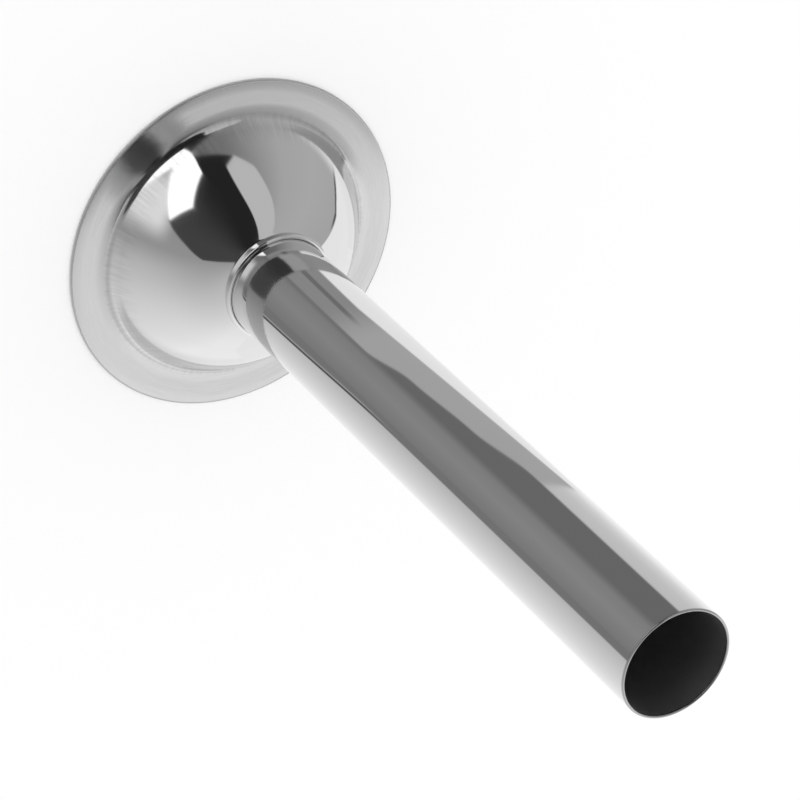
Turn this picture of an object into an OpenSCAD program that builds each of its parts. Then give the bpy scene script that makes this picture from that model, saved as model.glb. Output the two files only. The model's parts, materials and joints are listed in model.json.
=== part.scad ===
// Sausage stuffing tube for a hand or electric meat grinder.
// A pressed sheet flange with a domed middle carries a straight filling tube in its turned-up neck.
// Frame: the tube's axis is Z, the back of the brim is z = 0 and the filling end points up.

/* [Brim] */
// Outside diameter of the flat brim, which the grinder's ring nut clamps
flange_d = 70; // [60:0.5:84]
// Thickness of the pressed sheet
sheet_t = 1; // [0.6:0.1:1.5]
// Width of the flat ring between the rim and the foot of the dome
brim_w = 6.1; // [4:0.1:9]
// Rounding of the rim's front and back corner
rim_round = 0.35; // [0.1:0.05:0.5]

/* [Dome] */
// Height of the dome's crown over the back of the brim, measured as if it had no hole
dome_h = 20.6; // [17:0.1:26]
// Outside radius of the sweep that leads from the brim up into the dome
sweep_r = 4; // [2:0.1:6]

/* [Neck] */
// Radial thickness of the lip that is turned up round the tube
lip_t = 0.85; // [0.6:0.05:1.4]
// Height of the lip's top over the place where its outside meets the dome
lip_h = 1.3; // [0.9:0.1:3]
// Rounding of the lip's top, on its outside and towards the tube
lip_round = 0.4; // [0.2:0.05:0.6]
// Radius of the hollow corner between the dome and the lip
lip_foot_r = 0.2; // [0.15:0.05:1]

/* [Tube] */
// Outside diameter of the filling tube, over which the casing is drawn
tube_d = 20.5; // [12:0.1:30]
// Wall thickness of the filling tube
tube_wall = 0.5; // [0.4:0.05:1.2]
// Length over all, from the back of the brim to the mouth of the tube
overall_l = 153.5; // [90:0.5:220]

/* [Hidden] */
$fn = 180;

flange_r = flange_d / 2;
brim_in_r = flange_r - brim_w;
rim_r = min(rim_round, 0.45 * sheet_t);

// The dome is part of a sphere on the axis. It passes through the crown and runs smoothly into the sweep.
sweep_z = sheet_t + sweep_r;
dome_r = (pow(brim_in_r, 2) + pow(sweep_z - dome_h, 2) - pow(sweep_r, 2)) / (2 * (dome_h - sheet_t));
dome_z = dome_h - dome_r;
dome_in_r = dome_r - sheet_t;

// The neck: the lip's inside is the seat of the tube, and its foot runs smoothly into the dome.
tube_r = tube_d / 2;
lip_r = tube_r + lip_t;
lip_edge_r = min(lip_round, 0.45 * lip_t, 0.6 * lip_h);
foot_r = min(lip_foot_r, lip_h - lip_edge_r);
foot_z = sphere_z(dome_r + foot_r, lip_r + foot_r);
lip_straight = sphere_z(dome_r, lip_r) + lip_h - lip_edge_r - foot_z;

// The tube ends flush with the inside of the dome, where its seat begins.
seat_z = sphere_z(dome_in_r, tube_r);
mouth_r = tube_wall / 2;

// Surfaces that run smoothly into each other cross by this much, so that they join cleanly.
overlap = 0.0003;

// Height of a sphere round the dome's centre, at a distance from the axis
function sphere_z(r, x) = dome_z + sqrt(r * r - x * x);

// Half of a disc on its flat side, for a fully rounded edge
module half_disc(r) {
    intersection() {
        circle(r);
        translate([-r, 0]) square([2 * r, r]);
    }
}

// Quarter of a disc with its flat sides to the left and below, or above where up is false
module quarter_disc(r, up = true) {
    intersection() {
        circle(r);
        translate([0, up ? 0 : -r]) square(r);
    }
}

// Flat brim with its rounded rim, drawn in to the axis
module brim_section() {
    translate([flange_r - rim_r, sheet_t - rim_r]) quarter_disc(rim_r);
    translate([flange_r - rim_r, rim_r]) quarter_disc(rim_r, up = false);
    translate([0, rim_r]) square([flange_r, sheet_t - 2 * rim_r]);
    square([flange_r - rim_r, sheet_t]);
}

// Filled bell above a floor: the dome's sphere, flared out by the sweep at the foot
module bell_section(ball_r, flare_r, floor_z) {
    intersection() {
        union() {
            translate([0, dome_z]) circle(ball_r + 3 * overlap);
            difference() {
                polygon([[0, dome_z], [brim_in_r, floor_z], [brim_in_r, sweep_z]]);
                translate([brim_in_r, sweep_z]) circle(flare_r + overlap);
            }
        }
        translate([0, floor_z]) square([brim_in_r, dome_h - floor_z + sheet_t]);
    }
}

// Turned-up lip with its half-round top, and the hollow corner that leads into it from the dome
module lip_section() {
    translate([0, foot_z]) {
        difference() {
            polygon([[0, 0], [lip_r + foot_r, dome_z - foot_z] / 2, [lip_r + foot_r, 0]]);
            translate([lip_r + foot_r, 0]) circle(foot_r);
        }
        square([lip_r, lip_straight]);
        translate([lip_r - lip_edge_r, lip_straight]) quarter_disc(lip_edge_r);
        translate([tube_r + lip_edge_r - overlap, lip_straight]) {
            mirror([1, 0]) quarter_disc(lip_edge_r);
            square([lip_t - 2 * lip_edge_r + overlap, lip_edge_r]);
        }
    }
}

// Pressed sheet in one piece: brim, dome and turned-up neck round the hole for the tube
module flange_dome() {
    color("silver")
        rotate_extrude()
            difference() {
                union() {
                    brim_section();
                    bell_section(dome_r, sweep_r, 0);
                    lip_section();
                }
                bell_section(dome_in_r, sweep_r + sheet_t, -sheet_t);
                square([tube_r, overall_l]);
            }
}

// Drawn tube of even wall, seated in the neck, with a half-round edge at its mouth
module filling_tube() {
    straight = overall_l - mouth_r - seat_z;
    color("gainsboro")
        rotate_extrude()
            translate([tube_r - mouth_r, overall_l - mouth_r]) {
                half_disc(mouth_r);
                translate([-mouth_r, -straight]) square([tube_wall, straight]);
            }
}

flange_dome();
filling_tube();
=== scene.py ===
"""Sausage stuffing tube: a pressed steel flange with a polished dome, and the tube that stands in its neck.

Both pieces are turned from their sections by one Geometry Nodes tree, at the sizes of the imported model.
"""

import json
import math
from collections import namedtuple

import bmesh
import bpy
from mathutils import Matrix, Vector


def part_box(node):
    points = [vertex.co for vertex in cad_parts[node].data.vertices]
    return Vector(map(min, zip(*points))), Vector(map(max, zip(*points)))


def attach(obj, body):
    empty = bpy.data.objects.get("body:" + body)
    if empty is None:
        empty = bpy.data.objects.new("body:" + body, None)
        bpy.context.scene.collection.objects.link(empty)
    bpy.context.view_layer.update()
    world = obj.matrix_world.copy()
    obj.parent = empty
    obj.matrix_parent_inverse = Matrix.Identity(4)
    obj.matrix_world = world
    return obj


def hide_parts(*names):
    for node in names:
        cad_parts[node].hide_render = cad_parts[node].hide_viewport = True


bl_info = {
    "name": "Sausage Stuffing Tube",
    "version": (1, 0, 0),
    "blender": (4, 5, 0),
    "location": "View3D > Sidebar > Stuffing Tube",
    "description": "Makes the flange, the filling tube and the studio that shows them",
    "category": "Object",
}

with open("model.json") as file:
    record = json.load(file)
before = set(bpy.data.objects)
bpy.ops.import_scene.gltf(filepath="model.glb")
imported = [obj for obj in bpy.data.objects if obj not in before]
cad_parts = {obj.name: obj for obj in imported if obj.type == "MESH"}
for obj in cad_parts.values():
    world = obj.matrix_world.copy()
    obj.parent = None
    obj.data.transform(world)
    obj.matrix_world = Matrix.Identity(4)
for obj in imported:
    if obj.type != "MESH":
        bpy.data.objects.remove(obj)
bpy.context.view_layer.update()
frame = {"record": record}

# A millimetre in metres, and a radian in degrees
MM = 0.001
IN_DEGREES = 180 / math.pi

FLANGE_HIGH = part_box("flange_dome")[1]
TUBE_LOW, TUBE_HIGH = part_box("filling_tube")
MOUNTS = {mount["name"]: mount for mount in frame["record"]["mounts"]}

# Faces round a turned piece, the distance at which its points are welded, and the bend that stays sharp
FACETS = 320
WELD = 0.0005 * MM
CREASE = math.radians(30)

# Turn of the stretched highlight on brushed steel, as a share of a full turn
QUARTER_TURN = 0.25


class FlangeSizes(bpy.types.PropertyGroup):
    """Sizes of the pressed flange."""

    rim_radius: bpy.props.FloatProperty(
        name="Rim radius", description="From the axis to the rim of the brim",
        default=FLANGE_HIGH.x, unit="LENGTH", precision=5)
    sheet: bpy.props.FloatProperty(
        name="Sheet", description="Thickness of the pressed sheet",
        default=MOUNTS["brim_front"]["pos_m"][2], unit="LENGTH", precision=5)
    brim_width: bpy.props.FloatProperty(
        name="Brim width", description="Ring from the rim to the gentle rise at the foot of the dome",
        default=4.9 * MM, unit="LENGTH", precision=5)
    roll_slope: bpy.props.FloatProperty(
        name="Roll-off slope", description="Slope that the brim's outer part falls to at the rim",
        default=math.radians(4), subtype="ANGLE")
    roll_radius: bpy.props.FloatProperty(
        name="Roll-off radius", description="Radius at which the brim's outer part falls to the rim",
        default=30 * MM, unit="LENGTH", precision=5)
    rise_slope: bpy.props.FloatProperty(
        name="Rise slope", description="Slope at which the gentle rise passes into the sweep",
        default=math.radians(9.6), subtype="ANGLE")
    rise_radius: bpy.props.FloatProperty(
        name="Rise radius", description="Outside radius of the gentle rise between brim and sweep",
        default=12 * MM, unit="LENGTH", precision=5)
    rim_round: bpy.props.FloatProperty(
        name="Rim rounding", description="Radius of the rim's two corners",
        default=0.35 * MM, unit="LENGTH", precision=5)
    dome_height: bpy.props.FloatProperty(
        name="Dome height", description="Crown over the back of the brim, as if it had no hole",
        default=20.6 * MM, unit="LENGTH", precision=5)
    crown_slope: bpy.props.FloatProperty(
        name="Crown slope", description="Slope at which the round crown passes into the flatter flank",
        default=math.radians(45), subtype="ANGLE")
    flank_slope: bpy.props.FloatProperty(
        name="Flank slope", description="Steepest slope of the dome, where its flank meets the shoulder",
        default=math.radians(62.5), subtype="ANGLE")
    shoulder_slope: bpy.props.FloatProperty(
        name="Shoulder slope", description="Slope at which the hollow shoulder passes into the sweep",
        default=math.radians(56), subtype="ANGLE")
    shoulder_radius: bpy.props.FloatProperty(
        name="Shoulder radius", description="Outside radius of the hollow shoulder under the flank",
        default=14 * MM, unit="LENGTH", precision=5)
    sweep_radius: bpy.props.FloatProperty(
        name="Sweep radius", description="Outside radius of the tight sweep that leads up into the shoulder",
        default=1.9 * MM, unit="LENGTH", precision=5)
    lip: bpy.props.FloatProperty(
        name="Lip", description="Radial thickness of the lip round the tube",
        default=0.85 * MM, unit="LENGTH", precision=5)
    lip_round: bpy.props.FloatProperty(
        name="Lip rounding", description="Radius of the lip's top, on its outside and towards the tube",
        default=0.3825 * MM, unit="LENGTH", precision=5)
    lip_foot: bpy.props.FloatProperty(
        name="Lip foot", description="Radius of the hollow corner between dome and lip",
        default=0.2 * MM, unit="LENGTH", precision=5)


class TubeSizes(bpy.types.PropertyGroup):
    """Sizes of the filling tube."""

    radius: bpy.props.FloatProperty(
        name="Radius", description="Outside radius of the tube",
        default=MOUNTS["casing_seat"]["dims"]["r_mm"] * MM, unit="LENGTH", precision=5)
    bore: bpy.props.FloatProperty(
        name="Bore", description="Inside radius of the tube",
        default=MOUNTS["tube_bore"]["dims"]["r_mm"] * MM, unit="LENGTH", precision=5)
    seat: bpy.props.FloatProperty(
        name="Seat", description="Height at which the tube starts, inside the neck",
        default=TUBE_LOW.z, unit="LENGTH", precision=5)
    mouth: bpy.props.FloatProperty(
        name="Mouth", description="Height of the tube's open end",
        default=TUBE_HIGH.z, unit="LENGTH", precision=5)


class SteelFinish(bpy.types.PropertyGroup):
    """Colours and polish of the steel."""

    dome_colour: bpy.props.FloatVectorProperty(
        name="Dome colour", description="Colour of the polished sheet",
        default=(0.76, 0.76, 0.765), subtype="COLOR", min=0, max=1)
    # Painted shade: the brim and the sweep's foot are darkened in their colour, which dims their reflections
    brim_painted_shade: bpy.props.FloatProperty(
        name="Brim shade", description="Brightness of the brushed brim against the dome",
        default=0.78, subtype="FACTOR", min=0, max=1)
    brim_haze: bpy.props.FloatProperty(
        name="Brim haze", description="How far the brushed brim scatters light as a dull surface does",
        default=0.05, subtype="FACTOR", min=0, max=1)
    brush_contrast: bpy.props.FloatProperty(
        name="Brush contrast", description="How far the brush lines lighten and darken the brim",
        default=0.16, subtype="FACTOR", min=0, max=1)
    # The drawing contrast also sets a slight painted shade over the whole sweep
    drawing_contrast: bpy.props.FloatProperty(
        name="Drawing contrast", description="How far the drawing marks lighten and darken the sweep",
        default=0.30, subtype="FACTOR", min=0, max=1)
    tube_colour: bpy.props.FloatVectorProperty(
        name="Tube colour", description="Colour of the polished tube",
        default=(0.78, 0.78, 0.785), subtype="COLOR", min=0, max=1)
    # Painted shade in the bore, where the tube's wall keeps the light out
    bore_painted_shade: bpy.props.FloatProperty(
        name="Bore shade", description="Brightness of the bore against the outside of the tube",
        default=0.72, subtype="FACTOR", min=0, max=1)
    # Painted shade on the edge at the mouth, which dims its bright reflected ring
    mouth_painted_shade: bpy.props.FloatProperty(
        name="Mouth shade", description="Brightness of the edge at the mouth against the tube",
        default=0.60, subtype="FACTOR", min=0, max=1)
    dome_roughness: bpy.props.FloatProperty(
        name="Dome roughness", description="Blur of the dome's mirror finish",
        default=0.05, subtype="FACTOR", min=0, max=1)
    sweep_roughness: bpy.props.FloatProperty(
        name="Sweep roughness", description="Blur of the sweep between brim and dome",
        default=0.11, subtype="FACTOR", min=0, max=1)
    brim_roughness: bpy.props.FloatProperty(
        name="Brim roughness", description="Blur of the brushed brim",
        default=0.12, subtype="FACTOR", min=0, max=1)
    rim_roughness: bpy.props.FloatProperty(
        name="Rim roughness", description="Blur of the edge at the rim",
        default=0.6, subtype="FACTOR", min=0, max=1)
    tube_roughness: bpy.props.FloatProperty(
        name="Tube roughness", description="Blur of the tube's polish",
        default=0.06, subtype="FACTOR", min=0, max=1)
    bore_roughness: bpy.props.FloatProperty(
        name="Bore roughness", description="Blur of the bore",
        default=0.45, subtype="FACTOR", min=0, max=1)
    mouth_roughness: bpy.props.FloatProperty(
        name="Mouth roughness", description="Blur of the edge at the mouth",
        default=0.25, subtype="FACTOR", min=0, max=1)
    brushing: bpy.props.FloatProperty(
        name="Brushing", description="How far the turned brush lines stretch a highlight",
        default=1.0, subtype="FACTOR", min=0, max=1)


class Studio(bpy.types.PropertyGroup):
    """Floor, cards and camera."""

    floor_colour: bpy.props.FloatVectorProperty(
        name="Floor colour", description="Pale floor under the part",
        default=(0.85, 0.85, 0.85), subtype="COLOR", min=0, max=1)
    floor_radius: bpy.props.FloatProperty(
        name="Floor radius", description="Reach of the floor", default=4.0, unit="LENGTH")
    floor_glow: bpy.props.FloatProperty(
        name="Floor glow", description="Light that brings the open floor to white", default=0.16, min=0)
    screen_radius: bpy.props.FloatProperty(
        name="Screen radius", description="Distance of the curved screen in front of the part",
        default=2.5, unit="LENGTH")
    light_box: bpy.props.FloatProperty(
        name="Light box", description="Brightness of the light box before the screen",
        default=1.5, min=0)
    light_panel: bpy.props.FloatProperty(
        name="Light panel", description="Brightness of the light panel before the screen",
        default=0.59, min=0)
    dark_panel: bpy.props.FloatProperty(
        name="Dark panel", description="Brightness of the dark panel before the screen",
        default=0.02, min=0)
    back_card: bpy.props.FloatProperty(
        name="Back card", description="Brightness of the card behind the part", default=1.17, min=0)
    overhead_card: bpy.props.FloatProperty(
        name="Overhead card", description="Brightness of the card over the part", default=0.06, min=0)
    lens: bpy.props.FloatProperty(
        name="Lens", description="Focal length on a 36 mm sensor, in millimetres", default=138.43)
    camera_place: bpy.props.FloatVectorProperty(
        name="Camera", description="Where the camera stands",
        default=(0.0, -0.378724, 0.466759), subtype="TRANSLATION")
    camera_aim: bpy.props.FloatVectorProperty(
        name="Aim", description="Point in the middle of the picture",
        default=(-0.000254, 0.0, 0.065024), subtype="TRANSLATION")
    camera_roll: bpy.props.FloatProperty(
        name="Roll", description="Turn of the camera about its line of sight",
        default=math.radians(133.477), subtype="ANGLE")


class Wire:
    """A socket in a node tree. Arithmetic on it adds Math nodes, and add() adds any other node."""

    def __init__(self, tree, socket=None):
        self.tree = tree
        self.socket = socket

    def add(self, kind, settings=None, inputs=None, output=0):
        """Adds a node, sets it up, fills its sockets with values or wires, and returns one of its outputs."""
        node = self.tree.nodes.new(kind)
        for name, value in (settings or {}).items():
            if name == "stops":
                ramp = node.color_ramp
                while len(ramp.elements) < len(value):
                    ramp.elements.new(1.0)
                for element, (place, grey) in zip(ramp.elements, value):
                    element.position = place
                    element.color = (grey, grey, grey, 1.0)
            else:
                setattr(node, name, value)
        for key, value in (inputs or {}).items():
            if isinstance(value, Wire):
                self.tree.links.new(value.socket, node.inputs[key])
            else:
                node.inputs[key].default_value = value
        return Wire(self.tree, node.outputs[output] if node.outputs else None)

    def out(self, key):
        """Another output of the same node."""
        return Wire(self.tree, self.socket.node.outputs[key])

    def math(self, operation, *terms):
        """A Math node on these terms."""
        return self.add("ShaderNodeMath", {"operation": operation}, dict(enumerate(terms)))

    def step(self, low, high):
        """Rises smoothly from 0 at low to 1 at high."""
        return self.add("ShaderNodeMapRange", {"interpolation_type": "SMOOTHSTEP"},
                        {"Value": self, "From Min": low, "From Max": high})

    def above(self, limit, soft=1.0):
        """Is 1 over a limit, which may be a wire, and fades out under it."""
        return (self - limit).step(-soft, soft)

    def band(self, low, high, soft):
        """Is 1 between two limits, which may be wires, and fades out beyond them."""
        return self.above(low, soft) * (1 - self.above(high, soft))

    def toward(self, level, mask):
        """This value, or another level where the mask is 1."""
        return self + (level - self) * mask

    def __add__(self, other):
        return self.math("ADD", self, other)

    def __radd__(self, other):
        return self.math("ADD", other, self)

    def __sub__(self, other):
        return self.math("SUBTRACT", self, other)

    def __rsub__(self, other):
        return self.math("SUBTRACT", other, self)

    def __mul__(self, other):
        return self.math("MULTIPLY", self, other)

    def __rmul__(self, other):
        return self.math("MULTIPLY", other, self)

    def __truediv__(self, other):
        return self.math("DIVIDE", self, other)

    def __mod__(self, other):
        return self.math("FLOORED_MODULO", self, other)


def arc(centre, radius, start, end, steps):
    """Points of a round stretch of a section, from one angle to another in degrees."""
    angles = [math.radians(start + (end - start) * i / steps) for i in range(steps + 1)]
    return [(centre[0] + radius * math.cos(a), centre[1] + radius * math.sin(a)) for a in angles]


def flat(start, end, steps, margin=0.02 * MM):
    """Points inside a straight stretch, with one close to each end so that it shades flat."""
    near = margin / math.dist(start, end)
    places = [near, *(i / steps for i in range(1, steps)), 1 - near]
    return [tuple(a + (b - a) * t for a, b in zip(start, end)) for t in places]


def square_to(slope):
    """Direction square to a slope, outwards and up."""
    return Vector((math.sin(slope), math.cos(slope)))


def flange_section(size, tube):
    """Closed outline of the pressed sheet, as distances from the axis and heights."""
    sheet, rise, sweep, shoulder = size.sheet, size.rise_radius, size.sweep_radius, size.shoulder_radius
    brim_in = size.rim_radius - size.brim_width
    slopes = (size.crown_slope, size.flank_slope, size.shoulder_slope, size.rise_slope)
    off_crown, off_flank, off_shoulder, off_rise = (square_to(slope) for slope in slopes)
    crown_end, flank_end, shoulder_end, rise_end = (math.degrees(slope) for slope in slopes)

    # From the brim up: each arc leaves the one below it without a bend. The crown's centre is on the axis.
    rise_at = Vector((brim_in, sheet + rise))
    sweep_at = rise_at - (rise - sweep) * off_rise
    shoulder_at = sweep_at + (shoulder - sweep) * off_shoulder
    foot = shoulder_at - shoulder * off_flank
    lean = Vector((math.tan(size.crown_slope / 2), 1.0))
    flank = (size.dome_height - foot.dot(lean)) / (off_crown - off_flank).dot(lean)
    flank_at = foot - flank * off_flank
    dome = flank + flank_at.x / off_crown.x
    dome_at = (0.0, size.dome_height - dome)

    # The lip leaves the crown by a hollow corner, and the tube's seat begins at the dome's inside.
    lip_out = tube.radius + size.lip
    hollow_x = lip_out + size.lip_foot
    hollow_at = (hollow_x, dome_at[1] + math.sqrt((dome + size.lip_foot) ** 2 - hollow_x ** 2))
    lip_end = math.degrees(math.atan2(hollow_at[1] - dome_at[1], hollow_x))
    lip_top = FLANGE_HIGH.z - size.lip_round
    seat_end = math.degrees(math.acos(tube.radius / (dome - sheet)))

    # The brim's outer part rolls off into the rim's upper corner.
    corner = size.rim_radius - size.rim_round
    fall = size.roll_radius - size.rim_round
    roll_at = (corner - fall * math.sin(size.roll_slope), sheet - size.roll_radius)
    rim_at = (corner, roll_at[1] + fall * math.cos(size.roll_slope))
    roll_end = math.degrees(size.roll_slope)
    return [
        *arc((corner, size.rim_round), size.rim_round, -90, 0, 10),
        *arc(rim_at, size.rim_round, 0, 90 - roll_end, 10),
        *arc(roll_at, size.roll_radius, 90 - roll_end, 90, 8)[1:],
        *flat((roll_at[0], sheet), (brim_in, sheet), 6),
        *arc(rise_at, rise, 270, 270 - rise_end, 8),
        *arc(sweep_at, sweep, 270 - rise_end, 270 - shoulder_end, 28)[1:],
        *arc(shoulder_at, shoulder, 270 - shoulder_end, 270 - flank_end, 8)[1:],
        *arc(flank_at, flank, 90 - flank_end, 90 - crown_end, 30)[1:],
        *arc(dome_at, dome, 90 - crown_end, lip_end, 36)[1:],
        *arc(hollow_at, size.lip_foot, 180 + lip_end, 180, 8)[1:],
        *arc((lip_out - size.lip_round, lip_top), size.lip_round, 0, 90, 12),
        *arc((tube.radius + size.lip_round, lip_top), size.lip_round, 90, 180, 12),
        *arc(dome_at, dome - sheet, seat_end, 90 - crown_end, 20),
        *arc(flank_at, flank - sheet, 90 - crown_end, 90 - flank_end, 16)[1:],
        *arc(shoulder_at, shoulder + sheet, 270 - flank_end, 270 - shoulder_end, 6)[1:],
        *arc(sweep_at, sweep + sheet, 270 - shoulder_end, 270 - rise_end, 18)[1:],
        *arc(rise_at, rise + sheet, 270 - rise_end, 270, 6)[1:],
        *flat((brim_in, 0.0), (corner, 0.0), 4),
    ]


def tube_section(size):
    """Closed outline of the tube's wall, with its half-round mouth edge."""
    edge = (size.radius - size.bore) / 2
    middle, top = size.bore + edge, size.mouth - edge
    return [
        (size.bore, size.seat),
        (size.radius, size.seat),
        *flat((size.radius, size.seat), (size.radius, top), 24),
        *arc((middle, top), edge, 0, 180, 20),
        *flat((size.bore, top), (size.bore, size.seat), 12),
    ]


def turning_tree():
    """Geometry Nodes that turn a section once round the Z axis into a closed skin."""
    tree = bpy.data.node_groups.new("Turned Section", "GeometryNodeTree")
    inputs = {"Section": "Geometry", "Facets": "Int", "Weld": "Float", "Crease": "Float",
              "Finish": "Material"}
    for name, kind in inputs.items():
        tree.interface.new_socket(name, in_out="INPUT", socket_type="NodeSocket" + kind)
    tree.interface.new_socket("Skin", in_out="OUTPUT", socket_type="NodeSocketGeometry")

    given = Wire(tree).add("NodeGroupInput", output="Section")
    stations = given.add("GeometryNodeAttributeDomainSize", {"component": "MESH"},
                         {"Geometry": given}, output="Point Count")
    columns = given.out("Facets") + 1
    grid = given.add("GeometryNodeMeshGrid", None, {"Vertices X": stations + 1, "Vertices Y": columns})
    index = given.add("GeometryNodeInputIndex")
    row = given.math("FLOOR", (index + 0.5) / columns)
    angle = (index - row * columns) * math.tau / given.out("Facets")
    place = given.add("GeometryNodeInputPosition")
    point = given.add("GeometryNodeSampleIndex", {"data_type": "FLOAT_VECTOR", "domain": "POINT"},
                      {"Geometry": given, "Value": place, "Index": row % stations})
    reach = given.add("ShaderNodeSeparateXYZ", None, {"Vector": point}, output="X")
    turned = given.add("ShaderNodeCombineXYZ", None, {
        "X": reach * given.math("COSINE", angle),
        "Y": reach * given.math("SINE", angle),
        "Z": reach.out("Z")})
    skin = given.add("GeometryNodeSetPosition", None, {"Geometry": grid, "Position": turned})
    skin = given.add("GeometryNodeMergeByDistance", None, {"Geometry": skin, "Distance": given.out("Weld")})
    bend = given.add("GeometryNodeInputMeshEdgeAngle", output="Unsigned Angle")
    smooth = given.math("LESS_THAN", bend, given.out("Crease"))
    for domain, shading in (("FACE", True), ("EDGE", smooth)):
        skin = given.add("GeometryNodeSetShadeSmooth", {"domain": domain},
                         {"Geometry": skin, "Shade Smooth": shading})
    skin = given.add("GeometryNodeRealizeInstances", None, {"Geometry": skin})
    skin = given.add("GeometryNodeSetMaterial", None, {"Geometry": skin, "Material": given.out("Finish")})
    given.add("NodeGroupOutput", None, {"Skin": skin})
    return tree


def turn(name, section, facets, material):
    """A plain mesh object, turned from a section by the Geometry Nodes tree."""
    outline = bpy.data.meshes.new(name + "_section")
    count = len(section)
    outline.from_pydata([(x, 0.0, z) for x, z in section], [(i, (i + 1) % count) for i in range(count)], [])
    maker = bpy.data.objects.new(name + "_maker", outline)
    bpy.context.scene.collection.objects.link(maker)
    tree = bpy.data.node_groups.get("Turned Section") or turning_tree()
    modifier = maker.modifiers.new("Turn", "NODES")
    modifier.node_group = tree
    keys = {item.name: item.identifier for item in tree.interface.items_tree if item.in_out == "INPUT"}
    modifier[keys["Facets"]] = facets
    modifier[keys["Weld"]] = WELD
    modifier[keys["Crease"]] = CREASE
    modifier[keys["Finish"]] = material
    depsgraph = bpy.context.evaluated_depsgraph_get()
    mesh = bpy.data.meshes.new_from_object(maker.evaluated_get(depsgraph), depsgraph=depsgraph)
    maker.modifiers.remove(modifier)
    bpy.data.objects.remove(maker)
    bpy.data.meshes.remove(outline)

    work = bmesh.new()
    work.from_mesh(mesh)
    bmesh.ops.recalc_face_normals(work, faces=work.faces)
    loose = sum(len(edge.link_faces) != 2 for edge in work.edges)
    work.to_mesh(mesh)
    work.free()
    if loose or not mesh.polygons:
        raise RuntimeError(f"{name}: the turned skin has {len(mesh.polygons)} faces and {loose} open edges")
    piece = bpy.data.objects.new(name, mesh)
    bpy.context.scene.collection.objects.link(piece)
    return piece


def new_material(name):
    """An empty node material and the wire to build it with."""
    material = bpy.data.materials.new(name)
    material.use_nodes = True
    material.node_tree.nodes.clear()
    return material, Wire(material.node_tree)


# A place on a turned piece: distance from the axis and height in millimetres, the direction round the axis as
# a cosine and a sine, and the plain place
Turned = namedtuple("Turned", "radius height cos sin place")


def turned_place(wire, nearest=0.01):
    """Where a point of a turned piece is. The nearest distance keeps it from a division by zero."""
    place = wire.add("ShaderNodeTexCoord", output="Object")
    split = wire.add("ShaderNodeSeparateXYZ", None, {"Vector": place}, output="X")
    x, y, z = split / MM, split.out("Y") / MM, split.out("Z") / MM
    radius = wire.math("SQRT", x * x + y * y)
    away = wire.math("MAXIMUM", radius, nearest)
    return Turned(radius, z, x / away, y / away, place)


def noise(wire, x, y, z, detail=2.0, roughness=0.5):
    """Noise at a point made of three wires, around 0.5."""
    point = wire.add("ShaderNodeCombineXYZ", None, {"X": x, "Y": y, "Z": z})
    return wire.add("ShaderNodeTexNoise", None,
                    {"Vector": point, "Scale": 1.0, "Detail": detail, "Roughness": roughness})


def turned_noise(wire, at, outward, sideways, **look):
    """Noise by how fast it changes outwards, in each millimetre, and sideways, round the axis."""
    return noise(wire, at.radius * outward, at.cos * sideways, at.sin * sideways, **look)


def smudges(wire, at, scale):
    """Broad clouds on a polished surface, around 0.5."""
    return wire.add("ShaderNodeTexNoise", None, {"Vector": at.place, "Scale": scale, "Detail": 3.0})


def varied(level, spread, pattern):
    """A level that a pattern around 0.5 moves up and down within a spread."""
    return level + spread * (pattern - 0.5)


def tint(wire, colour, shade):
    """A colour made a little darker or lighter by a wire near 1."""
    return wire.add("ShaderNodeVectorMath", {"operation": "SCALE"}, {0: tuple(colour), "Scale": shade})


def bump(wire, relief, strength, depth):
    """Normal of a surface with a fine relief."""
    return wire.add("ShaderNodeBump", None, {"Strength": strength, "Distance": depth, "Height": relief})


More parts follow.
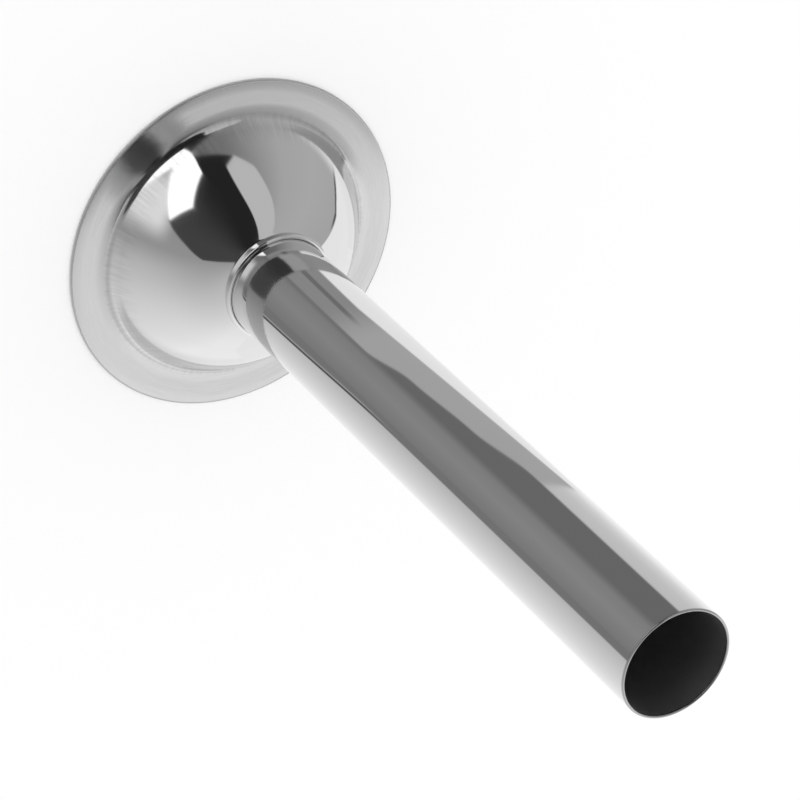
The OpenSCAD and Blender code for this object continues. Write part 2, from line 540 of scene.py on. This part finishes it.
def pressed_steel(finish, flange):
    """Mirror-polished sheet whose brim is brushed in circles, with faint drawing marks in the sweep, and
    painted shade and a painted highlight in its colour.
    """
    material, wire = new_material("pressed_steel")
    at = turned_place(wire)

    # Zones of the finish and of the painted shade, by the distance past the foot of the dome and past the rim
    # in millimetres
    rise_width = flange.rise_radius * math.sin(flange.rise_slope)
    past_foot = at.radius - (flange.rim_radius - flange.brim_width - rise_width) / MM
    past_rim = at.radius - flange.rim_radius / MM
    brim = past_foot.step(0.0, 0.6)
    satin = past_foot.step(-4.2, -0.7)
    # Painted shade over the brim and the foot of the sweep, which hides a bright reflected ring at the brim's
    # inner edge
    painted_shade_zone = past_foot.step(-1.3, -0.3)
    sweep = past_foot.step(-4.2, -2.2) * (1 - brim)
    # The rim's edge: blurred, and kept out of the painted shade so that its colour shows a painted highlight
    rim = past_rim.step(-0.5, -0.2)

    lines = turned_noise(wire, at, outward=9.0, sideways=5.0, detail=3.0, roughness=0.6)
    fine = turned_noise(wire, at, outward=30.0, sideways=9.0)
    drawn = turned_noise(wire, at, outward=0.3, sideways=40.0)
    smudge = smudges(wire, at, scale=60.0)

    brushed = finish.brush_contrast * brim * (lines - 0.5)
    # Drawing marks lighten and darken the sweep, and darken it a little on the whole as painted shade
    marks_and_painted_shade = finish.drawing_contrast * sweep * (drawn - 0.4)
    shade = varied(1.0, 0.03, smudge)
    # Painted shade darkens the colour of the brim and the sweep's foot, but not the rim's edge, which stays
    # lighter as a painted highlight.
    shade = shade * (1 - painted_shade_zone * (1 - rim) * (1 - finish.brim_painted_shade)) * (1 - brushed - marks_and_painted_shade)
    polish = varied(varied(finish.dome_roughness, 0.02, smudge), 0.015, fine)
    polish = polish.toward(varied(finish.sweep_roughness, 0.10, drawn), satin)
    polish = polish.toward(varied(finish.brim_roughness, 0.10, lines), brim)
    relief = brim * (0.6 * lines + 0.4 * fine) + 0.5 * sweep * drawn
    steel = wire.add("ShaderNodeBsdfPrincipled", None, {
        "Base Color": tint(wire, finish.dome_colour, shade),
        "Metallic": 1 - finish.brim_haze * brim,
        "Roughness": polish.toward(finish.rim_roughness, rim),
        "Anisotropic": finish.brushing,
        "Anisotropic Rotation": QUARTER_TURN,
        "Normal": bump(wire, relief, strength=0.25, depth=0.02 * MM)})
    wire.add("ShaderNodeOutputMaterial", None, {"Surface": steel})
    return material


def polished_tube(finish, tube):
    """Bright drawn tube with faint lines along its length, duller inside and at its mouth, where painted
    shade also darkens its colour.
    """
    material, wire = new_material("polished_tube")
    at = turned_place(wire)
    # The bore: rougher, and darkened as painted shade
    inside = 1 - (at.radius - tube.bore / MM).step(0.02, 0.12)
    # The edge at the mouth: rougher, and darkened as painted shade
    edge = (at.height - tube.mouth / MM).step(-0.5, -0.2)
    sideways, lengthways = 60.0, 0.03
    lines = noise(wire, at.cos * sideways, at.sin * sideways, at.height * lengthways,
                  detail=3.0, roughness=0.6)
    smudge = smudges(wire, at, scale=45.0)

    shade = varied(0.995, 0.03, smudge)
    # Painted shade darkens the colour in the bore and on the edge at the mouth.
    shade = shade * (1 - inside * (1 - finish.bore_painted_shade)) * (1 - edge * (1 - finish.mouth_painted_shade))
    polish = varied(varied(finish.tube_roughness, 0.03, lines), 0.03, smudge)
    polish = polish.toward(finish.bore_roughness, inside)
    steel = wire.add("ShaderNodeBsdfPrincipled", None, {
        "Base Color": tint(wire, finish.tube_colour, shade),
        "Metallic": 1.0,
        "Roughness": polish.toward(finish.mouth_roughness, edge),
        "Normal": bump(wire, lines, strength=0.05, depth=0.01 * MM)})
    wire.add("ShaderNodeOutputMaterial", None, {"Surface": steel})
    return material


# Brightness of the cards by the direction in which they stand from the part, in degrees: 0 is the front,
# where the camera is, and 90 the part's +X side
SCREEN_STOPS = [
    (-136, 0.47), (-110, 0.50), (-85, 0.47), (-68, 0.36), (-50, 0.22), (-30, 0.18),
    (20, 0.33), (45, 0.36), (60, 0.48), (90, 0.66), (120, 0.80), (136, 0.90)]
FLOOR_CARD_STOPS = [
    (-140, 0.97), (-118, 0.76), (-100, 0.66), (-75, 0.62), (-20, 0.25),
    (10, 0.285), (50, 0.22), (54, 0.56), (92, 0.75), (136, 0.95)]

# An edge of a panel is a straight line: it has a level at its start and runs on from there at a slope.
Edge = namedtuple("Edge", "start level slope")

# Edges before the screen, in degrees: a side gives a direction by rise, a foot or a top a rise by direction
WHITE_SIDE = Edge(start=0, level=-137, slope=-0.2)
LIGHT_PANEL_SIDE = Edge(start=19, level=-63, slope=-0.6)
LIGHT_PANEL_FEET = (Edge(start=-63, level=18.5, slope=-0.575), Edge(start=-50, level=11.5, slope=0.68))
DARK_PANEL_FOOT = Edge(start=-50, level=11.5, slope=-0.3)
DARK_PANEL_SIDE = Edge(start=51, level=46, slope=0.75)
LIGHT_BOX_SIDE = Edge(start=0, level=-26, slope=0.2)
LIGHT_BOX_FOOT = Edge(start=-4, level=5, slope=0.625)
LIGHT_BOX_TOPS = (Edge(start=-22, level=16, slope=0.54), Edge(start=6, level=27, slope=-0.35))
LIGHT_BOX_HIGHEST = 28.3

# Seam of the light and the dark panel: its direction, the rise from which it bows towards -X, and how fast.
# The dark panel reaches on behind the light one by some degrees.
SEAM, SEAM_BOW_START, SEAM_BOW = -41.5, 20, 0.009
BEHIND_SEAM = 9

# Edges on the floor card, as directions in degrees by distance from the axis in millimetres. The side of
# the white strip stops at its end. The side of the dark panel moves on by some degrees between two distances,
# three times.
STRIP_SIDE = Edge(start=121, level=-128, slope=-0.68)
STRIP_END = -80
FLOOR_DARK_SIDE = -24
FLOOR_DARK_GROWTH = [(64, 79, 20), (78, 101, 11), (100, 122, 20)]

# The dome sees the floor card low along it from this distance from the axis and this height, with directions
# counted about as from a point a little in front of the axis, all in millimetres.
LOW_VIEW_REACH, LOW_VIEW_HEIGHT, LOW_VIEW_FRONT = 24, 9, 7


def level_at(edge, place):
    """Level of an edge at a place along it."""
    return edge.level + edge.slope * (place - edge.start)


def lowest(wire, level, *others):
    """The lowest of several levels."""
    for other in others:
        level = wire.math("MINIMUM", level, other)
    return level


def facing(wire):
    """Direction, distance from the axis in millimetres and rise of a point of a card, seen from the part."""
    place = wire.add("ShaderNodeTexCoord", output="Object")
    x = wire.add("ShaderNodeSeparateXYZ", None, {"Vector": place}, output="X")
    y, z = x.out("Y"), x.out("Z")
    reach = wire.math("SQRT", x * x + y * y)
    direction = wire.math("ARCTAN2", x, 0 - y) * IN_DEGREES
    return direction, reach / MM, wire.math("ARCTAN2", z, reach) * IN_DEGREES


def graded(wire, direction, stops):
    """Brightness round a card, from its stops, as a plain number."""
    ramp = wire.add("ShaderNodeValToRGB", {"stops": [((angle + 180) / 360, grey) for angle, grey in stops]},
                    {"Fac": direction / 360 + 0.5})
    return ramp * 1.0


def screen_light(wire, studio, direction, rise):
    """Brightness of the grey screen and of the panels and the light box before it, by direction and rise."""
    light = graded(wire, direction, SCREEN_STOPS)

    # Towards +X the screen is lighter low down and darker high up.
    light = light * (1 + direction.step(40, 65) * (0.17 - 0.27 * rise.step(5, 60)))

    # White past the screen's -X end, a dark upright beside it, and a pale patch low in front
    white_end = level_at(WHITE_SIDE, rise)
    upright = direction.band(white_end + 0.5, white_end + 2.5, 0.7) * (1 - rise.step(4, 14))
    patch = direction.band(-1, 35, 10) * (1 - rise.step(14, 27))
    light = light.toward(1.0, 1 - direction.above(white_end, 0.6)).toward(0.10, upright).toward(0.88, patch)

    # The dark panel stands above the light box's foot, and the light panel before its -X side.
    lean = wire.math("MAXIMUM", rise - SEAM_BOW_START, 0.0)
    seam = SEAM - SEAM_BOW * lean * lean
    dark_end = lowest(wire, DARK_PANEL_SIDE.level, level_at(DARK_PANEL_SIDE, rise))
    box_foot = level_at(LIGHT_BOX_FOOT, direction)
    dark = direction.band(seam - BEHIND_SEAM, dark_end, 1) * rise.above(level_at(DARK_PANEL_FOOT, direction))
    light = light.toward(studio.dark_panel + 0.045 * direction.step(-30, 30), dark * rise.above(box_foot))
    panel = direction.band(level_at(LIGHT_PANEL_SIDE, rise), seam, 1)
    for foot in LIGHT_PANEL_FEET:
        panel = panel * rise.above(level_at(foot, direction))
    light = light.toward(studio.light_panel, panel)

    # The light box stands before both panels.
    box_top = lowest(wire, LIGHT_BOX_HIGHEST, *(level_at(top, direction) for top in LIGHT_BOX_TOPS))
    box = direction.above(level_at(LIGHT_BOX_SIDE, rise), 0.5) * rise.band(box_foot, box_top, 0.5)
    return light.toward(studio.light_box, box)


def floor_card_light(wire, direction, reach):
    """Brightness of the panels on the floor card, by direction and distance from the axis."""
    light = graded(wire, direction, FLOOR_CARD_STOPS)

    # White strip on the -X side, a grey panel, and the dark panel in front of it with a small patch
    near = 1 - reach.step(125, 128)
    strip_end = lowest(wire, STRIP_END, level_at(STRIP_SIDE, reach))
    dark_side = FLOOR_DARK_SIDE
    for low, high, growth in FLOOR_DARK_GROWTH:
        dark_side = dark_side - growth * reach.step(low, high)
    light = light.toward(0.93, near * (1 - direction.above(strip_end, 3)))
    light = light.toward(0.30 + 0.14 * reach.step(48, 62), near * direction.band(strip_end, dark_side, 3))
    light = light.toward(0.165, direction.above(dark_side, 3) * (1 - direction.above(-20, 8)))
    light = light.toward(0.18, direction.band(-58, -49, 2) * (1 - reach.step(50, 58)))

    # Panel on the +X side, with a light and a dark line along its end
    side = 64 - 7 * reach.step(40, 80)
    lines = 1 - reach.step(68, 88)
    light = light.toward(0.21, direction.band(42, side, 1.5))
    light = light.toward(0.40, direction.band(side - 6.5, side - 4.5, 0.7) * lines)
    return light.toward(0.06, direction.band(side - 3, side - 0.4, 0.7) * lines)


def glow(wire, light):
    """Emission of a card."""
    return wire.add("ShaderNodeEmission", None, {"Color": (1, 1, 1, 1), "Strength": light})


def screen_material(studio):
    """Curved screen round the front."""
    material, wire = new_material("screen")
    direction, _, rise = facing(wire)
    light = screen_light(wire, studio, direction, rise)
    wire.add("ShaderNodeOutputMaterial", None, {"Surface": glow(wire, light)})
    return material


def back_card_material(studio):
    """Light card behind the part, dimmer upwards and in its upper corner on the -X side."""
    material, wire = new_material("back_card")
    direction, _, rise = facing(wire)
    side = direction % 360 - 180
    corner = (side + 1.5 * (rise - 51)).step(0, 12)
    light = studio.back_card - 0.03 * wire.math("MAXIMUM", rise - 48, 0.0)
    wire.add("ShaderNodeOutputMaterial", None, {"Surface": glow(wire, light * (1 - 0.44 * corner))})
    return material


def overhead_material(studio):
    """Dark card over the part."""
    material, wire = new_material("overhead_card")
    wire.add("ShaderNodeOutputMaterial", None, {"Surface": glow(wire, studio.overhead_card)})
    return material


def floor_card_material(studio):
    """Glowing card on the floor, which shows its panels from above and a painted reflection of the screen
    when seen low along it.
    """
    material, wire = new_material("floor_card")
    direction, reach, _ = facing(wire)
    panels = glow(wire, floor_card_light(wire, direction, reach))
    # Painted reflection: the screen's panels glow on the card where it is seen low along it
    low_direction = direction * reach / (reach - LOW_VIEW_FRONT)
    low_rise = wire.math("ARCTAN2", -LOW_VIEW_HEIGHT, reach - LOW_VIEW_REACH) * IN_DEGREES
    painted_screen_reflection = glow(wire, screen_light(wire, studio, low_direction, low_rise))
    along = wire.add("ShaderNodeLayerWeight", None, {"Blend": 0.5}, output="Facing").step(0.62, 0.80)
    card = wire.add("ShaderNodeMixShader", None, {0: along, 1: panels, 2: painted_screen_reflection})

    # To metal within a few millimetres, such as the rim, the card is plain white.
    away = wire.add("ShaderNodeLightPath", output="Ray Length").step(4 * MM, 8 * MM)
    card = wire.add("ShaderNodeMixShader", None, {0: away, 1: glow(wire, 1.0), 2: card})
    wire.add("ShaderNodeOutputMaterial", None, {"Surface": card})
    return material


def floor_material(studio):
    """Pale floor that is white in the open, to the eye and in the metal, and keeps the part's soft shadow."""
    material, wire = new_material("pale_floor")
    seen = camera_ray = wire.add("ShaderNodeLightPath", output="Is Camera Ray")
    for other in ("Is Glossy Ray", "Is Transmission Ray"):
        seen = wire.math("MAXIMUM", seen, camera_ray.out(other))
    lit = wire.add("ShaderNodeBsdfDiffuse", None, {"Color": (*studio.floor_colour, 1.0)})
    both = wire.add("ShaderNodeAddShader", None, {0: lit, 1: glow(wire, seen * studio.floor_glow)})
    wire.add("ShaderNodeOutputMaterial", None, {"Surface": both})
    return material


def stage_piece(name, rows, material):
    """A sheet of the stage, from rows of points."""
    across = len(rows[0])
    faces = [(i * across + j, i * across + j + 1, (i + 1) * across + j + 1, (i + 1) * across + j)
             for i in range(len(rows) - 1) for j in range(across - 1)]
    mesh = bpy.data.meshes.new(name)
    mesh.from_pydata([point for row in rows for point in row], [], faces)
    mesh.materials.append(material)
    piece = bpy.data.objects.new(name, mesh)
    bpy.context.scene.collection.objects.link(piece)
    return piece


def around(radius, rise, direction):
    """A point at a distance, a rise and a direction from the part, the angles in degrees."""
    up, turned = math.radians(rise), math.radians(direction)
    level = radius * math.cos(up)
    return (level * math.sin(turned), -level * math.cos(turned), radius * math.sin(up))


def bowl(radius, rises, directions):
    """Rows of points of a round screen."""
    return [[around(radius, rise, direction) for direction in directions] for rise in rises]


def ring(reaches, directions, height=0.0):
    """Rows of points of a flat ring."""
    return [[(*around(reach, 0, direction)[:2], height) for direction in directions] for reach in reaches]


def only_reflected(card):
    """Leaves a card to the metal alone, so that it neither lights nor shades the floor."""
    card.visible_camera = False
    card.visible_diffuse = False
    card.visible_shadow = False
    card.data.materials[0].cycles.emission_sampling = "NONE"


# Where the sheets of the stage have their points: directions and rises in degrees, the rest in metres
ALL_ROUND = range(0, 361, 5)
FRONT, SCREEN_RISES = range(-148, 149, 4), range(0, 81, 4)
BEHIND, BACK_RISES = range(148, 213, 4), range(32, 69, 4)
OVERHEAD_X, OVERHEAD_Y = (-0.65, 0.85), (-0.42, 1.05)
FLOOR_MIDDLE, FLOOR_NEAR = 0.0001, 0.3
FLOOR_CARD_GAP, FLOOR_CARD_HEIGHT = 0.05 * MM, 0.2 * MM


def even_light():
    """A world of even white light."""
    world = bpy.data.worlds.new("studio")
    world.use_nodes = True
    world.node_tree.nodes.clear()
    wire = Wire(world.node_tree)
    white = wire.add("ShaderNodeBackground", None, {"Color": (1, 1, 1, 1), "Strength": 1.0})
    wire.add("ShaderNodeOutputWorld", None, {"Surface": white})
    world.cycles.sampling_method = "NONE"
    return world


def set_up_stage(studio, rim_radius):
    """The floor, and the cards that only the metal shows."""
    floor_reaches = (FLOOR_MIDDLE, FLOOR_NEAR, studio.floor_radius)
    stage_piece("floor", ring(floor_reaches, ALL_ROUND), floor_material(studio))
    distance = studio.screen_radius
    card_reaches = (rim_radius + FLOOR_CARD_GAP, FLOOR_NEAR, distance)
    overhead = [[(x, y, distance) for x in OVERHEAD_X] for y in OVERHEAD_Y]
    cards = [
        ("screen", bowl(distance, SCREEN_RISES, FRONT), screen_material),
        ("floor_card", ring(card_reaches, FRONT, FLOOR_CARD_HEIGHT), floor_card_material),
        ("back_card", bowl(distance, BACK_RISES, BEHIND), back_card_material),
        ("overhead_card", overhead, overhead_material),
    ]
    for name, rows, material in cards:
        only_reflected(stage_piece(name, rows, material(studio)))


def set_up_camera(studio):
    """The camera, aimed and then turned about its line of sight."""
    camera = bpy.data.objects.new("camera", bpy.data.cameras.new("camera"))
    camera.data.lens = studio.lens
    camera.data.sensor_width = 36
    camera.data.clip_start = 0.01
    camera.data.dof.use_dof = False
    place, aim = Vector(studio.camera_place), Vector(studio.camera_aim)
    level = (aim - place).to_track_quat("-Z", "Y").to_matrix().to_4x4()
    camera.matrix_world = Matrix.Translation(place) @ level @ Matrix.Rotation(studio.camera_roll, 4, "Z")
    bpy.context.scene.collection.objects.link(camera)
    return camera


class STUFFING_OT_studio(bpy.types.Operator):
    """Make the floor, the cards that the metal reflects, the soft light and the camera"""

    bl_idname = "stuffing.studio"
    bl_label = "Studio"

    def execute(self, context):
        scene = context.scene
        scene.view_settings.view_transform = "Standard"
        scene.world = even_light()
        set_up_stage(scene.stuffing_studio, scene.stuffing_flange.rim_radius)
        scene.camera = set_up_camera(scene.stuffing_studio)
        return {"FINISHED"}


class STUFFING_OT_flange(bpy.types.Operator):
    """Make the pressed flange with its brushed brim and polished dome"""

    bl_idname = "stuffing.flange"
    bl_label = "Flange"

    def execute(self, context):
        scene = context.scene
        steel = pressed_steel(scene.stuffing_finish, scene.stuffing_flange)
        section = flange_section(scene.stuffing_flange, scene.stuffing_tube)
        piece = turn("pressed_flange", section, FACETS, steel)
        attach(piece, "root")
        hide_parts("flange_dome")
        return {"FINISHED"}


class STUFFING_OT_tube(bpy.types.Operator):
    """Make the polished filling tube that stands in the flange's neck"""

    bl_idname = "stuffing.tube"
    bl_label = "Filling tube"

    def execute(self, context):
        scene = context.scene
        steel = polished_tube(scene.stuffing_finish, scene.stuffing_tube)
        piece = turn("drawn_tube", tube_section(scene.stuffing_tube), FACETS, steel)
        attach(piece, "root")
        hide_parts("filling_tube")
        return {"FINISHED"}


GROUPS = {
    "stuffing_flange": FlangeSizes,
    "stuffing_tube": TubeSizes,
    "stuffing_finish": SteelFinish,
    "stuffing_studio": Studio,
}
OPERATORS = (STUFFING_OT_studio, STUFFING_OT_flange, STUFFING_OT_tube)


class STUFFING_PT_panel(bpy.types.Panel):
    """Sizes, finish and steps of the stuffing tube"""

    bl_idname = "STUFFING_PT_panel"
    bl_label = "Stuffing Tube"
    bl_space_type = "VIEW_3D"
    bl_region_type = "UI"
    bl_category = "Stuffing Tube"

    def draw(self, context):
        for name, group in GROUPS.items():
            box = self.layout.box()
            for key in group.__annotations__:
                box.prop(getattr(context.scene, name), key)
        for operator in OPERATORS:
            self.layout.operator(operator.bl_idname)


def register():
    for name, group in GROUPS.items():
        bpy.utils.register_class(group)
        setattr(bpy.types.Scene, name, bpy.props.PointerProperty(type=group))
    for cls in (*OPERATORS, STUFFING_PT_panel):
        bpy.utils.register_class(cls)


def unregister():
    for cls in reversed((*OPERATORS, STUFFING_PT_panel)):
        bpy.utils.unregister_class(cls)
    for name, group in reversed(GROUPS.items()):
        delattr(bpy.types.Scene, name)
        bpy.utils.unregister_class(group)


def main():
    register()
    bpy.ops.stuffing.studio()
    bpy.ops.stuffing.flange()
    bpy.ops.stuffing.tube()


if __name__ == "__main__":
    main()
